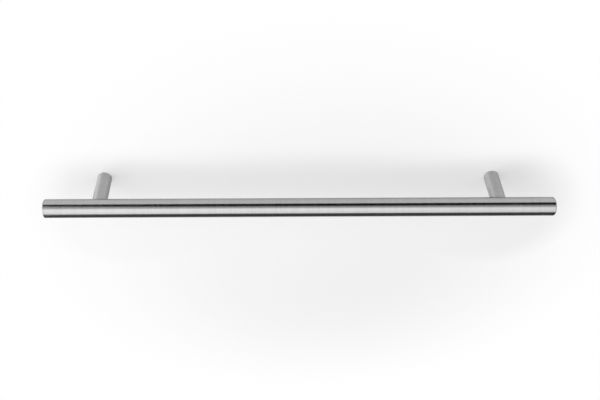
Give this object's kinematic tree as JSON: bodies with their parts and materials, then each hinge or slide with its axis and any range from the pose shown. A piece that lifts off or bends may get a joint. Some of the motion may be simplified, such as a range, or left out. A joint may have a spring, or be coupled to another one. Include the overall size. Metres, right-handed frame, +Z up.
{
  "type": "bar handle",
  "caption": "Straight round bar handle of brushed steel on round posts set in from its ends, with tapped feet for screws from behind, for a drawer or cupboard front.",
  "frame": {"origin": "on the mounting face, midway between the two fixing holes", "axes": "+X along the bar, +Y into the drawer front and out of the fixing holes' mouths, +Z up; the bar stands out towards -Y"},
  "size_m": [0.324, 0.035, 0.012],
  "materials": {
    "bar_steel": "brushed round the bar, satin",
    "post_steel": "brushed round the post, satin",
    "stud_steel": "plain turned steel, hidden"
  },
  "bodies": {
    "root": {"bar": "bar_steel", "left_post": "post_steel", "right_post": "post_steel", "left_stud": "stud_steel", "right_stud": "stud_steel"}
  },
  "joints": []
}
